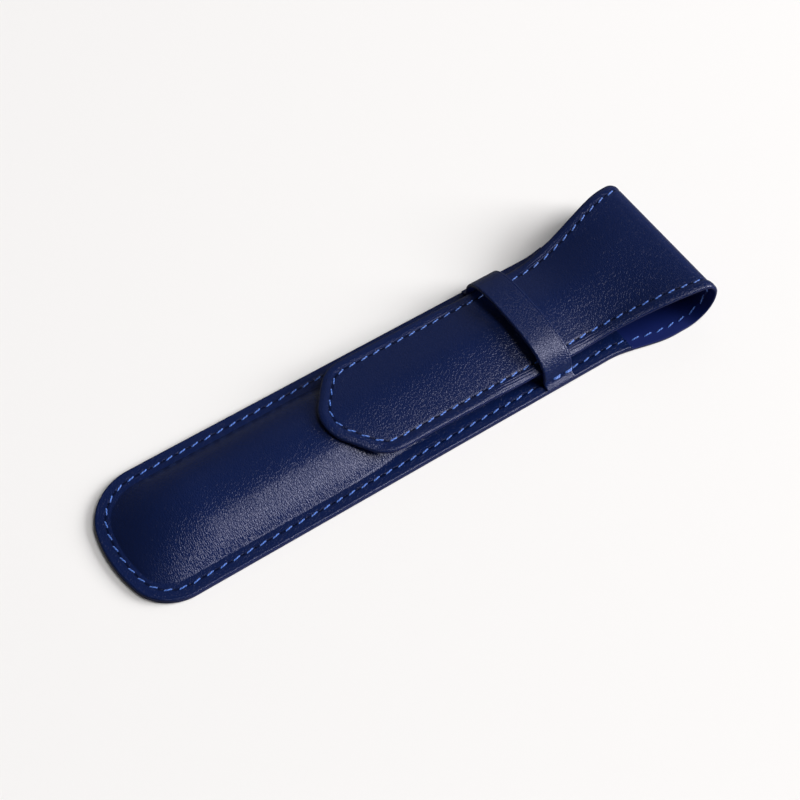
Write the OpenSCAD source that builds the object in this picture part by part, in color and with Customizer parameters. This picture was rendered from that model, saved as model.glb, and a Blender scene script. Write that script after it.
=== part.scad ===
// Single pen sleeve: a flat back, a crowned front, and a long flap that folds over
// the mouth and tucks its tongue under a strap. Millimetres, +Z up, resting on its back.

/* [Leather] */
// Thickness of the outer leather
outer_t = 0.55; // [0.5:0.05:0.8]
// Thickness of the lining leather
lining_t = 0.35; // [0.3:0.05:0.5]

/* [Body] */
// Length from the closed end to the crown of the fold
total_l = 173.5; // [166:0.1:195]
// Width of the body across its sewn edges
body_w = 40; // [38:0.5:46]
// Radius of the gentle bow across the closed end
end_bow_r = 40; // [36:1:80]
// Radius of the closed end's near corner
near_corner_r = 12.5; // [7:0.5:17]
// Radius of the closed end's far corner, a little rounder
far_corner_r = 15.5; // [7:0.5:17]
// Distance from the crown of the fold back to the mouth
mouth_back = 26; // [24:0.1:32]
// Rise of the front's crown above the sewn edge
crown_h = 5.5; // [4.8:0.1:6.2]
// Length over which the crown rises from the closed end
crown_run = 22; // [14:1:34]
// Width of the flat sewn edge, outside the crown
flange_w = 4; // [3.6:0.1:5]

/* [Fold] */
// Height of the fold over its outer faces
fold_h = 13.4; // [12.8:0.1:15]
// Outer radius of the fold's lower and wider bend
low_bend_r = 9; // [7:0.1:9.4]
// How far the fold stands out past each edge of the body
fold_flare = 3.4; // [2:0.1:5]
// Distance back from the mouth at which the strip starts to widen
flare_lead = 7.2; // [5:0.1:10]
// Length at full width between the widening and the fold
flare_rest = 3.7; // [2:0.1:5]
// Length round the fold before the strip starts to narrow again
narrow_lead = 6.8; // [4:0.1:9]

/* [Flap] */
// Inset of the flap's edges from the edges of the body
flap_inset = 4.1; // [4:0.1:6]
// Length of the tongue past the strap
tongue_l = 57; // [40:0.5:75]
// Gap between the crown and the flap's middle at the strap
flap_gap = 1.75; // [1:0.05:2.2]
// Drop of the flap's stitch lines below its middle at the strap
flap_drop = 3.5; // [2.8:0.1:3.8]
// Gap between the crown and the tongue's middle near its tip
tip_gap = 0.65; // [0.4:0.05:1.2]
// Drop of the tongue's stitch lines below its middle near its tip
tip_drop = 1.8; // [1:0.1:2.4]
// Further drop of the flap's bare margin where the strap holds it down
margin_drop = 0.9; // [0.6:0.05:1.2]
// Distance past the strap at which the flap starts to rise to the fold
rise_lead = 5.3; // [3:0.1:8]
// Length before the strap over which the flap's middle lifts off the crown
mid_run = 28; // [20:0.5:34]
// Length before the strap over which its stitch lines lift
side_run = 21; // [16:0.5:28]
// Length on each side of the strap over which the bare margin is drawn down
margin_run = 17; // [12:0.5:22]
// Length on each side of the strap over which the flap's section holds
level_run = 3; // [1:0.1:4]
// Radius of the tongue's nose
nose_r = 10.5; // [6:0.5:13]
// Radius of the tongue's two shoulders
shoulder_r = 10; // [7:0.5:13]
// Angle of the tongue's slanted flanks to its length
flank_angle = 52; // [45:1:60]

/* [Strap] */
// Distance from the strap back to the mouth
strap_back = 18.8; // [14:0.1:26]
// Width of the strap
strap_w = 9.1; // [7:0.1:12]
// Gap between the flap's middle and the strap
strap_gap = 1.65; // [1.2:0.05:3]
// Length of each strap foot sewn on the flat edge
strap_foot = 1.6; // [1.3:0.1:1.8]
// Squareness of the strap's arch, 2 is a plain ellipse
strap_power = 2.3; // [2.2:0.1:3]

/* [Stitching] */
// Distance from one stitch to the next
stitch_pitch = 3.7; // [3:0.1:5]
// Length of the thread that shows in one stitch
stitch_l = 2.6; // [2:0.1:2.9]
// Width of the thread
thread_w = 0.5; // [0.3:0.05:0.7]
// Height of the thread above the leather
thread_h = 0.22; // [0.1:0.02:0.4]
// Distance from the edge of the body to its stitch line
seam_margin = 2.8; // [2.4:0.1:3.2]
// Distance from the edge of the flap to its stitch line
flap_margin = 3.1; // [2.4:0.1:3.4]
// Width of the doubled tack stitches on the strap's feet
tack_w = 0.9; // [0.6:0.1:1.2]

/* [Hidden] */

navy = [0.09, 0.13, 0.33];
navy_lining = [0.07, 0.10, 0.25];
thread_blue = [0.16, 0.36, 0.78];

// Thickness of one panel, and of the sewn edge of two panels
panel_t = outer_t + lining_t;
edge_t = 2 * panel_t;
half_w = body_w / 2;
flap_half_w = half_w - flap_inset;

// Stations along the length
mouth_x = total_l - mouth_back;
strap_x2 = mouth_x - strap_back;
strap_x1 = strap_x2 - strap_w;
tip_x = strap_x1 - tongue_l;

// Fold: a wide bend and then a tighter one, each a quarter turn, with a glue line
// between its two leathers that all lengths along the strip are measured on
top_bend_r = fold_h - low_bend_r;
low_glue_r = low_bend_r - outer_t;
top_glue_r = top_bend_r - outer_t;
low_len = PI / 2 * low_glue_r;
top_len = PI / 2 * top_glue_r;
bend_s = total_l - low_bend_r;
crown_s = bend_s + low_len;
top_s = crown_s + top_len;
top_x = total_l - top_bend_r;
tip_s = top_s + top_x - tip_x;
// Rigid segments that stand for each of the two bends
low_n = 3;
top_n = 2;
fold_joints = concat([for (i = [0 : low_n]) bend_s + low_len * i / low_n],
    [for (i = [1 : top_n]) crown_s + top_len * i / top_n]);

// Running gap on each side of a hinge line, and under a flat stitch
hinge_gap = 0.02;
// Gap under a stitch on a curved face
stitch_lift = 0.1;

// Heights of the flap's outer face at the strap and near the tongue's tip
crown_top = edge_t + crown_h;
flap_mid_h = crown_top + flap_gap + panel_t;
flap_side_h = flap_mid_h - flap_drop;
tip_mid_h = crown_top + tip_gap + panel_t;
tip_side_h = tip_mid_h - tip_drop;
strap_h = flap_mid_h + strap_gap + panel_t;

// Lengths over which the flap falls from the fold, past the strap, and levels on the crown
fall_x = [strap_x2 + rise_lead, top_x];
mid_level_x = [strap_x1 - mid_run, strap_x1 + level_run];
side_level_x = [strap_x1 - side_run, strap_x1 - level_run];
margin_in_x = [strap_x1 - margin_run, strap_x1 - level_run];
margin_out_x = [strap_x2 + level_run, strap_x2 + margin_run];
// Lengths over which the strip widens to the fold, and narrows to the flap
flare_in = [mouth_x - flare_lead, bend_s - flare_rest];
flare_out = [bend_s + narrow_lead, top_s + top_x - fall_x[0]];
// Distance between the flap's middle and its stitch lines, past the flare
flap_seam_y = flap_half_w - flap_margin;

// Smooth step from 0 at a[0] to 1 at a[1]
function clamp01(t) = min(1, max(0, t));
function ease(t) = t * t * (3 - 2 * t);
function step(x, a) = ease(clamp01((x - a[0]) / (a[1] - a[0])));
function degrees(arc, r) = arc / r * 180 / PI;

// Half-width of the closed end's outline at x, drawn inset from the edge. The far side, at
// side 1, and the near side, at side -1, have corners of their own.
function corner_r(side) = side < 0 ? near_corner_r : far_corner_r;
function corner_x(r) = end_bow_r - sqrt(pow(end_bow_r - r, 2) - pow(half_w - r, 2));
function bow_limit(r, inset) =
    end_bow_r - (end_bow_r - inset) * (end_bow_r - corner_x(r)) / (end_bow_r - r);
function end_half(x, inset, side) =
    let (r = corner_r(side))
    x <= inset ? 0
    : x < bow_limit(r, inset) ? sqrt(pow(end_bow_r - inset, 2) - pow(end_bow_r - x, 2))
    : x < corner_x(r) ? half_w - r + sqrt(pow(r - inset, 2) - pow(corner_x(r) - x, 2))
    : half_w - inset;
end_reach = max(corner_x(near_corner_r), corner_x(far_corner_r));

// Half-width of the tongue's tip at a distance t from its nose, drawn inset from the edge
tip_turn = 90 - flank_angle;
function nose_t(inset) = nose_r - (nose_r - inset) * cos(tip_turn);
function nose_y(inset) = (nose_r - inset) * sin(tip_turn);
function shoulder_y(inset) = flap_half_w - shoulder_r + (shoulder_r - inset) * sin(tip_turn);
function shoulder_t(inset) =
    nose_t(inset) + (shoulder_y(inset) - nose_y(inset)) / tan(flank_angle);
function side_t(inset) = shoulder_t(inset) + (shoulder_r - inset) * cos(tip_turn);
function tip_half(t, inset) =
    t <= inset ? 0
    : t < nose_t(inset) ? sqrt(pow(nose_r - inset, 2) - pow(nose_r - t, 2))
    : t < shoulder_t(inset) ? nose_y(inset) + (t - nose_t(inset)) * tan(flank_angle)
    : t < side_t(inset)
        ? flap_half_w - shoulder_r + sqrt(pow(shoulder_r - inset, 2) - pow(side_t(inset) - t, 2))
    : flap_half_w - inset;

// Half-width of the whole strip at the length s from the closed end
function flare(s) =
    fold_flare * step(s, flare_in) - (fold_flare + flap_inset) * step(s, flare_out);
function strip_half(s, inset, side = 1) =
    s < end_reach ? end_half(s, inset, side)
    : s > tip_s - side_t(inset) ? tip_half(tip_s - s, inset)
    : half_w - inset + flare(s);

// Height of the flap's outer face, from its middle and its stitch lines
function fall(x, low_h) = (fold_h - low_h) * step(x, fall_x);
function mid_h(x) =
    tip_mid_h + (flap_mid_h - tip_mid_h) * step(x, mid_level_x) + fall(x, flap_mid_h);
function side_h(x) =
    tip_side_h + (flap_side_h - tip_side_h) * step(x, side_level_x) + fall(x, flap_side_h);
// Share of the arch's drop at q, a share of the way to the stitch line, levelling at the end
arch_bend = 0.9;
arch_end = 0.2;
function arch(q) =
    let (u = min(arch_end, max(0, q - arch_bend)))
    pow(min(q, arch_bend), 2) + 2 * arch_bend * u - arch_bend / arch_end * u * u;
function margin_sag(x) = margin_drop * (step(x, margin_in_x) - step(x, margin_out_x));
function flap_top(x, y) =
    mid_h(x) - (mid_h(x) - side_h(x)) * arch(abs(y) / flap_seam_y)
    - margin_sag(x) * clamp01((abs(y) - flap_seam_y) / flap_margin);

// A point of the strip: length s, side y, and n outwards from the glue line
function bend_pt(centre_x, r, angle, y) = [centre_x + r * sin(angle), y, low_bend_r - r * cos(angle)];
function strip_pt(s, y, n) =
    s <= bend_s ? [s, y, outer_t - n]
    : s < crown_s ? bend_pt(bend_s, low_glue_r + n, degrees(s - bend_s, low_glue_r), y)
    : s < top_s ? bend_pt(top_x, top_glue_r + n, 90 + degrees(s - crown_s, top_glue_r), y)
    : let (x = top_x + top_s - s) [x, y, flap_top(x, y) - outer_t + n];

// Crown of the front above the sewn edge
crown_power = 2.2;
crown_soft = 1.2;
function crown_rise(x) = 1 - pow(1 - clamp01((x - flange_w) / crown_run), 2);
function crown(x, y) =
    let (foot = end_half(x, flange_w, y))
    foot <= abs(y) ? 0
    : crown_h * crown_rise(x) * pow(1 - pow(abs(y) / foot, crown_power), crown_soft);

// A closed sheet between two grids of points with the same rows and columns
module sheet(top, bottom) {
    rows = len(top);
    cols = len(top[0]);
    count = rows * cols;
    points = concat([for (r = top) each r], [for (r = bottom) each r]);
    upper = [for (i = [0 : rows - 2], j = [0 : cols - 2]) let (a = i * cols + j)
        each [[a, a + 1, a + cols + 1], [a, a + cols + 1, a + cols]]];
    lower = [for (f = upper) [f[2] + count, f[1] + count, f[0] + count]];
    rim = concat(
        [for (j = [0 : cols - 2]) j],
        [for (i = [0 : rows - 2]) i * cols + cols - 1],
        [for (j = [cols - 1 : -1 : 1]) (rows - 1) * cols + j],
        [for (i = [rows - 1 : -1 : 1]) i * cols]);
    walls = [for (k = [0 : len(rim) - 1]) let (a = rim[k], b = rim[(k + 1) % len(rim)])
        each [[a, a + count, b + count], [a, b + count, b]]];
    polyhedron(points, concat(upper, lower, walls));
}

// Shares of the half-width at which a sheet has its columns
side_cols = [0.15, 0.3, 0.44, 0.58, 0.7, 0.8, 0.9, 1];
function reversed(list) = [for (i = [len(list) - 1 : -1 : 0]) list[i]];
sheet_cols = concat(-reversed(side_cols), [0], side_cols);
fold_cols = [-1, -0.5, 0, 0.5, 1];
function strip_grid(lengths, cols, n) =
    [for (s = lengths) [for (v = cols) strip_pt(s, v * strip_half(s, 0), n)]];

// Plan of the back, from the closed end to the start of the bend, with the corner's
// stations close together where the outline turns most
end_shares = [0, 0.025, 0.065, 0.12, 0.19, 0.27, 0.37, 0.49, 0.63, 0.8, 1];
function end_xs(inset) = [for (u = end_shares) inset + u * (end_reach - inset)];
flare_steps = 10;
flare_xs = [for (i = [0 : flare_steps]) flare_in[0] + (flare_in[1] - flare_in[0]) * i / flare_steps];
function plan_side(side) =
    [for (x = concat(end_xs(0), flare_xs, [bend_s])) [x, side * strip_half(x, 0, side)]];
module back_plan() {
    near = plan_side(-1);
    polygon(concat(plan_side(1), reversed([for (i = [1 : len(near) - 1]) near[i]])));
}

module centred() translate([-total_l / 2, 0, 0]) children();

module back_outer() color(navy) centred() linear_extrude(outer_t) back_plan();
module back_lining() color(navy_lining) centred()
    translate([0, 0, outer_t]) linear_extrude(lining_t) back_plan();

// Rows of the front: round the closed end, over the crown's rise, and on to the mouth
tip_sliver = 0.12;
rise_end_x = flange_w + crown_run;
rise_steps = 7;
front_xs = concat(
    [tip_sliver], [for (i = [1 : len(end_shares) - 1]) end_xs(0)[i]],
    [for (i = [1 : rise_steps]) end_reach + (rise_end_x - end_reach) * i / rise_steps],
    [for (x = flare_xs) if (x < mouth_x) x], [mouth_x]);
// The front's columns: shares of the crown's foot, then half-way along the flat edge, then the edge
foot_share = 1 - flange_w / half_w;
crown_shares = [0.1875, 0.375, 0.55, 0.725, 0.875, 1];
front_side = concat([for (v = crown_shares) v * foot_share], [(1 + foot_share) / 2, 1]);
front_cols = concat(-reversed(front_side), [0], front_side);
function front_grid(z) =
    [for (x = front_xs) [for (v = front_cols)
        let (y = v * strip_half(x, 0, v)) [x, y, z + crown(x, y)]]];
module front_outer() color(navy) centred()
    sheet(front_grid(edge_t), front_grid(panel_t + lining_t));
module front_lining() color(navy_lining) centred()
    sheet(front_grid(panel_t + lining_t), front_grid(panel_t));

// Section of the strap: an arch with two flat feet, at a depth under its outer face
strap_half = half_w - strap_foot;
strap_steps = 20;
function strap_arch(depth) = [for (i = [0 : strap_steps])
    let (a = 180 * i / strap_steps, c = cos(a), k = 2 / strap_power)
    [sign(c) * pow(abs(c), k) * (strap_half - depth),
        edge_t + panel_t - depth + (strap_h - edge_t - panel_t) * pow(sin(a), k)]];
function strap_line(depth) = concat(
    [[half_w, edge_t + panel_t - depth]], strap_arch(depth), [[-half_w, edge_t + panel_t - depth]]);
module strap_band(inner, outer) {
    translate([strap_x1, 0, 0]) rotate([90, 0, 90]) linear_extrude(strap_w)
        polygon(concat(strap_line(outer), reversed(strap_line(inner))));
}
module strap_outer() color(navy) centred() strap_band(outer_t, 0);
module strap_lining() color(navy_lining) centred() strap_band(panel_t, outer_t);

// One segment of the fold. The outer leather's ends are square to its chord, so that the
// segments meet flat when the flap lies open, and the lining's ends lie on the hinge radii.
fold_rows = 4;
function half_turn(k) = k > low_n ? 45 / top_n : 45 / low_n;
function square_cut(k) =
    let (r = k > low_n ? top_bend_r : low_bend_r) outer_t * tan(half_turn(k)) * (r - outer_t) / r;
function fold_lengths(k, cut) = let (a = fold_joints[k - 1] + cut, b = fold_joints[k] - cut)
    [for (i = [0 : fold_rows]) a + (b - a) * i / fold_rows];
module fold_outer(k) color(navy) centred()
    sheet(strip_grid(fold_lengths(k, hinge_gap), fold_cols, 0),
        strip_grid(fold_lengths(k, square_cut(k) + hinge_gap), fold_cols, outer_t));
module fold_lining(k) color(navy_lining) centred()
    sheet(strip_grid(fold_lengths(k, hinge_gap), fold_cols, -lining_t),
        strip_grid(fold_lengths(k, hinge_gap), fold_cols, 0));

// Rows of the flap: down from the fold, along the tongue, and round its tip
fall_steps = 14;
tongue_steps = 14;
tip_shares = [0.85, 0.7, 0.58, 0.49, 0.36, 0.24, 0.11, 0.05, 0.02];
fall_end_s = top_s + top_x - fall_x[0];
tip_start_s = tip_s - side_t(0);
flap_lengths = concat(
    [for (i = [0 : fall_steps]) top_s + hinge_gap + (fall_end_s - top_s - hinge_gap) * i / fall_steps],
    [for (i = [1 : tongue_steps]) fall_end_s + (tip_start_s - fall_end_s) * i / tongue_steps],
    [for (u = tip_shares) tip_s - side_t(0) * u], [tip_s - tip_sliver]);
module flap_outer() color(navy) centred()
    sheet(strip_grid(flap_lengths, sheet_cols, 0), strip_grid(flap_lengths, sheet_cols, outer_t));
module flap_lining() color(navy_lining) centred()
    sheet(strip_grid(flap_lengths, sheet_cols, -lining_t), strip_grid(flap_lengths, sheet_cols, 0));

// One stitch: a bar of thread from a to b, rolled to the slope of the leather under it
module thread_bar(length, width) translate([0, -width / 2, 0]) cube([length, width, thread_h]);
module stitch(a, b, roll = 0, width = thread_w) {
    d = b - a;
    translate(a) rotate([roll, -atan2(d[2], norm([d[0], d[1]])), atan2(d[1], d[0])])
        thread_bar(norm(d), width);
}
function lateral_roll(a, b) =
    let (m = (a + b) / 2, d = b - a, left = thread_w / 2 * [-d[1], d[0]] / norm([d[0], d[1]]))
    atan2(flap_top(m[0] + left[0], m[1] + left[1]) - flap_top(m[0] - left[0], m[1] - left[1]), thread_w);

// Lengths along a flat path, and the point at a length along it
function path_sums(path, i = 0, sum = 0) =
    i == len(path) - 1 ? [sum]
    : concat([sum], path_sums(path, i + 1, sum + norm(path[i + 1] - path[i])));
function path_at(path, sums, d, i = 0) =
    i >= len(path) - 2 || sums[i + 1] >= d
        ? path[i] + (path[i + 1] - path[i]) * (d - sums[i]) / (sums[i + 1] - sums[i])
        : path_at(path, sums, d, i + 1);

// Body seam: from the mouth round the closed end and back to the mouth, left out where
// a foot of the strap covers it
seam_xs = concat(end_xs(seam_margin), [for (x = flare_xs) if (x < mouth_x) x], [mouth_x]);
function seam_side(side) = [for (x = seam_xs) [x, side * strip_half(x, seam_margin, side)]];
seam_path = concat(reversed(seam_side(-1)), seam_side(1));
seam_sums = path_sums(seam_path);
seam_total = seam_sums[len(seam_sums) - 1];
seam_n = floor(seam_total / stitch_pitch);
foot_reach = 0.4;
function under_strap(a, b) =
    max(a[0], b[0]) > strap_x1 - foot_reach && min(a[0], b[0]) < strap_x2 + foot_reach;
module seam_thread() color(thread_blue) centred()
    for (i = [0 : seam_n - 1]) {
        d = (i + 0.5) * seam_total / seam_n;
        a = path_at(seam_path, seam_sums, d - stitch_l / 2);
        b = path_at(seam_path, seam_sums, d + stitch_l / 2);
        z = edge_t + hinge_gap;
        if (!under_strap(a, b)) stitch([a[0], a[1], z], [b[0], b[1], z]);
    }

// Two doubled tacks on each foot of the strap, close to its arch
tack_gap = 0.05;
module strap_tack_thread() color(thread_blue) centred()
    for (side = [-1, 1], x = [strap_x1 + strap_w / 4, strap_x2 - strap_w / 4]) {
        y = side * (strap_half + tack_gap + tack_w / 2);
        z = edge_t + panel_t + hinge_gap;
        stitch([x - stitch_l / 2, y, z], [x + stitch_l / 2, y, z], width = tack_w);
    }

// Stitches on the lining face, past the mouth and round the inside of the fold. Each bar
// is laid along the strip's own tangent, with its height towards the inside.
bar_share = 0.7;
module lining_stitches(from, to) {
    count = max(1, round((to - from) / stitch_pitch));
    gap = (to - from) / count;
    reach = min(stitch_l, gap * bar_share) / 2;
    n = -lining_t - stitch_lift;
    for (i = [0 : count - 1], side = [-1, 1]) {
        s = from + (i + 0.5) * gap;
        a = strip_pt(s - reach, side * strip_half(s - reach, flap_margin), n);
        d = strip_pt(s + reach, side * strip_half(s + reach, flap_margin), n) - a;
        translate(a) rotate([0, -atan2(d[2], d[0]), 0]) rotate([0, 0, atan2(d[1], norm([d[0], d[2]]))])
            thread_bar(norm(d), thread_w);
    }
}
module mouth_extension_thread() color(thread_blue) centred() lining_stitches(mouth_x + 1, bend_s);
module fold_thread(k) color(thread_blue) centred() lining_stitches(fold_joints[k - 1], fold_joints[k]);

// Flap seam on the outer face: along one side, round the tip and back, as lengths and sides
function tip_side(side) = [for (u = concat([0], reversed(tip_shares), [1]))
    let (t = flap_margin + u * (side_t(flap_margin) - flap_margin))
    [tip_s - t, side * tip_half(t, flap_margin)]];
function flap_side(side) = [for (s = concat([top_s], flap_lengths))
    if (s < tip_s - side_t(flap_margin)) [s, side * strip_half(s, flap_margin)]];
flap_path = concat(flap_side(-1), reversed(tip_side(-1)), tip_side(1), reversed(flap_side(1)));
flap_sums = path_sums(flap_path);
flap_total = flap_sums[len(flap_sums) - 1];
flap_n = floor(flap_total / stitch_pitch);
module flap_thread() color(thread_blue) centred()
    for (i = [0 : flap_n - 1]) {
        d = (i + 0.5) * flap_total / flap_n;
        p = path_at(flap_path, flap_sums, d - stitch_l / 2);
        q = path_at(flap_path, flap_sums, d + stitch_l / 2);
        a = strip_pt(p[0], p[1], outer_t + stitch_lift);
        b = strip_pt(q[0], q[1], outer_t + stitch_lift);
        stitch(a, b, lateral_roll(a, b));
    }

back_outer();
back_lining();
front_outer();
front_lining();
strap_outer();
strap_lining();
seam_thread();
strap_tack_thread();
mouth_extension_thread();
fold_outer(1);  // fold_1_outer
fold_lining(1);  // fold_1_lining
fold_thread(1);  // fold_1_thread
fold_outer(2);  // fold_2_outer
fold_lining(2);  // fold_2_lining
fold_thread(2);  // fold_2_thread
fold_outer(3);  // fold_3_outer
fold_lining(3);  // fold_3_lining
fold_thread(3);  // fold_3_thread
fold_outer(4);  // fold_4_outer
fold_lining(4);  // fold_4_lining
fold_thread(4);  // fold_4_thread
fold_outer(5);  // fold_5_outer
fold_lining(5);  // fold_5_lining
fold_thread(5);  // fold_5_thread
flap_outer();
flap_lining();
flap_thread();
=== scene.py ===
import math
import bpy
import numpy as np
from mathutils import Matrix, Vector


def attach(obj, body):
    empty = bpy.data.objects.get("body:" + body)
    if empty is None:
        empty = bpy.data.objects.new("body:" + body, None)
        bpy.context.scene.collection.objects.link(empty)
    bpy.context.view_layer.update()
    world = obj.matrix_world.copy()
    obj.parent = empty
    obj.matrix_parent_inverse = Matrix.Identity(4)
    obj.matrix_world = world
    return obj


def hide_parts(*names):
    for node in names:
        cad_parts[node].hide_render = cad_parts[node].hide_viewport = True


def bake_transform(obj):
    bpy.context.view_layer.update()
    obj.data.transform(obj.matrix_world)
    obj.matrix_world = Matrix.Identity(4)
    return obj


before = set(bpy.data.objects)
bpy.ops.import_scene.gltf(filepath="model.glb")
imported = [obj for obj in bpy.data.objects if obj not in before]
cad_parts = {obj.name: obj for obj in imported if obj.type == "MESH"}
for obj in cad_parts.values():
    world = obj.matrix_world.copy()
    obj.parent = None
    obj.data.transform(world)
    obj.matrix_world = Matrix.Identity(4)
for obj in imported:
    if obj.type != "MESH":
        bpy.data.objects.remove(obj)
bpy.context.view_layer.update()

bpy.ops.object.select_all(action="DESELECT")

# Sizes, in millimetres
# They repeat the sizes of the CAD source, but the powers that shape the crown and the strap,
# and the exact stitch pitch, follow the photo more closely. The closed end is at length 0, and
# the fold's crown at TOTAL_L; the frame's origin is half-way between.
MM = 0.001
OUTER_T, LINING_T = 0.55, 0.35
PANEL_T = OUTER_T + LINING_T
EDGE_T = 2 * PANEL_T
TOTAL_L, HALF_W = 173.5, 20.0
END_BOW_R, NEAR_CORNER_R, FAR_CORNER_R = 40.0, 12.5, 15.5
MOUTH_X = 147.5
CROWN_H, CROWN_RUN, FLANGE_W = 5.5, 22.0, 4.0
CROWN_POWER, CROWN_SOFT = 2.3, 0.02
FOLD_H, LOW_R, FOLD_FLARE = 13.4, 9.0, 3.4
TOP_R = FOLD_H - LOW_R
FLARE_LEAD, FLARE_REST, NARROW_LEAD = 7.2, 3.7, 6.8
FLAP_INSET = 4.1
FLAP_HALF = HALF_W - FLAP_INSET
STRAP_X = (119.6, 128.7)
TIP_X = 62.6
NOSE_R, SHOULDER_R, TIP_TURN = 10.5, 10.0, math.radians(38)
STRAP_HALF, STRAP_POWER = 18.4, 2.8
STRAP_GAP, FLAP_GAP = 1.65, 1.75
TIP_GAP, TIP_DROP = 0.65, 1.8
SEAM_MARGIN, FLAP_MARGIN = 2.8, 3.1
PITCH = 3.697

# The strip's own length, measured on the glue line between its two leathers
LOW_GLUE_R, TOP_GLUE_R = LOW_R - OUTER_T, TOP_R - OUTER_T
BEND_S = TOTAL_L - LOW_R
CROWN_S = BEND_S + math.pi / 2 * LOW_GLUE_R
TOP_S = CROWN_S + math.pi / 2 * TOP_GLUE_R
TOP_X = TOTAL_L - TOP_R
TIP_S = TOP_S + TOP_X - TIP_X
# the six hinge lines: three even steps round the low bend, and two round the top one
JOINT_S = [BEND_S + (CROWN_S - BEND_S) * i / 3 for i in range(4)]
JOINT_S += [CROWN_S + (TOP_S - CROWN_S) * i / 2 for i in (1, 2)]
# the fold's pieces are cut half-way between the hinges
MID_S = [(a + b) / 2 for a, b in zip(JOINT_S, JOINT_S[1:])]

# Heights of the flap's outer face over its middle and over its stitch lines: near the tip,
# and at the strap, where the real flap lies a little flatter than its simple solid
CROWN_TOP = EDGE_T + CROWN_H
TIP_MID = CROWN_TOP + TIP_GAP + PANEL_T
TIP_SIDE = TIP_MID - TIP_DROP
FLAP_MID, FLAP_SIDE = 9.1, 7.2
MARGIN_DROP = 0.85
STRAP_H = CROWN_TOP + FLAP_GAP + STRAP_GAP + 2 * PANEL_T
FLAP_SEAM_Y = FLAP_HALF - FLAP_MARGIN

# Stretches over which the flap and the strip change, each from its start to its end
RISE_LEAD, MID_RUN, SIDE_RUN, MARGIN_RUN, LEVEL_RUN = 5.3, 28, 21, 17, 3
FALL = (STRAP_X[1] + RISE_LEAD, TOP_X)
MID_LEVEL = (STRAP_X[0] - MID_RUN, STRAP_X[0] + LEVEL_RUN)
SIDE_LEVEL = (STRAP_X[0] - SIDE_RUN, STRAP_X[0] - LEVEL_RUN)
MARGIN_IN = (STRAP_X[0] - MARGIN_RUN, STRAP_X[0] - LEVEL_RUN)
MARGIN_OUT = (STRAP_X[1] + LEVEL_RUN, STRAP_X[1] + MARGIN_RUN)
FLARE_IN = (MOUTH_X - FLARE_LEAD, BEND_S - FLARE_REST)
FLARE_OUT = (BEND_S + NARROW_LEAD, TOP_S + TOP_X - FALL[0])

# What the photo shows on top of the simple solids. The crown's foot stands further in past the
# closed end, and again under the flap, which presses it in. Round the fold the far edge is
# cut short and falls off, and the near margin swells. The tongue was pushed through the
# strap a little off its middle.
FOOT_STEPS = ((0.6, (4, 10)), (1.6, (60, 88)))
FAR_EDGE_CUT, FAR_EDGE_FALL, NEAR_MARGIN_SWELL = 0.7, 0.8, 0.28
TONGUE_SHIFT = 0.4


# The pattern and its fold
def ease(share):
    share = np.clip(share, 0, 1)
    return share * share * (3 - 2 * share)


def step(x, span):
    """A soft step from 0 to 1 over a stretch."""
    return ease((x - span[0]) / (span[1] - span[0]))


def bell(x, centre, width):
    """1 at the centre, and next to nothing two widths away."""
    return np.exp(-(((x - centre) / width) ** 2))


def strip_half(s, side):
    """Half-width of the long strip past the closed end and before the tongue's tip. The fold's
    far edge is cut a little short where it turns over."""
    half = HALF_W + FOLD_FLARE * step(s, FLARE_IN) - (FOLD_FLARE + FLAP_INSET) * step(s, FLARE_OUT)
    return half - np.where(side > 0, FAR_EDGE_CUT, 0.0) * bell(s, CROWN_S + 3, 5)


def end_half(x, inset, side):
    """Half-width of the closed end at x, drawn inset from its edge."""
    r = np.where(side < 0, NEAR_CORNER_R, FAR_CORNER_R)
    corner_x = END_BOW_R - np.sqrt((END_BOW_R - r) ** 2 - (HALF_W - r) ** 2)
    limit = END_BOW_R - (END_BOW_R - inset) * (END_BOW_R - corner_x) / (END_BOW_R - r)
    bow = np.sqrt(np.maximum((END_BOW_R - inset) ** 2 - (END_BOW_R - x) ** 2, 0))
    arc = HALF_W - r + np.sqrt(np.maximum((r - inset) ** 2 - (corner_x - x) ** 2, 0))
    half = np.where(x < limit, bow, np.where(x < corner_x, arc, HALF_W - inset))
    return np.where(x <= inset, 0, half)


def crown(x, y):
    """Rise of the front's moulded crown above its flat sewn edge."""
    # never quite 0, because the next lines divide by it
    foot = np.maximum(end_half(x, FLANGE_W, y), 1e-6)
    for inward, stretch in FOOT_STEPS:
        foot = foot - inward * step(x, stretch)
    rise = 1 - (1 - np.clip((x - FLANGE_W) / CROWN_RUN, 0, 1)) ** 2
    share = np.clip(1 - (np.abs(y) / foot) ** CROWN_POWER, 0, 1)
    return CROWN_H * rise * share ** 2 * (1 + CROWN_SOFT) / (share + CROWN_SOFT)


def flap_top(x, y):
    """Height of the flap's outer face over the crown, under the strap and up to the fold."""
    fall = step(x, FALL)
    mid = TIP_MID + (FLAP_MID - TIP_MID) * step(x, MID_LEVEL) + (FOLD_H - FLAP_MID) * fall
    side = TIP_SIDE + (FLAP_SIDE - TIP_SIDE) * step(x, SIDE_LEVEL) + (FOLD_H - FLAP_SIDE) * fall
    # 0 over the flap's middle and 1 at its stitch lines: round at first, then nearly straight
    arch = (np.sqrt(np.minimum(np.abs(y) / FLAP_SEAM_Y, 1) ** 2 + 0.12) - 0.35) / 0.71
    sag = MARGIN_DROP * (step(x, MARGIN_IN) - step(x, MARGIN_OUT))
    return mid - (mid - side) * arch - sag * np.clip((np.abs(y) - FLAP_SEAM_Y) / FLAP_MARGIN, 0, 1)


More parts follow.
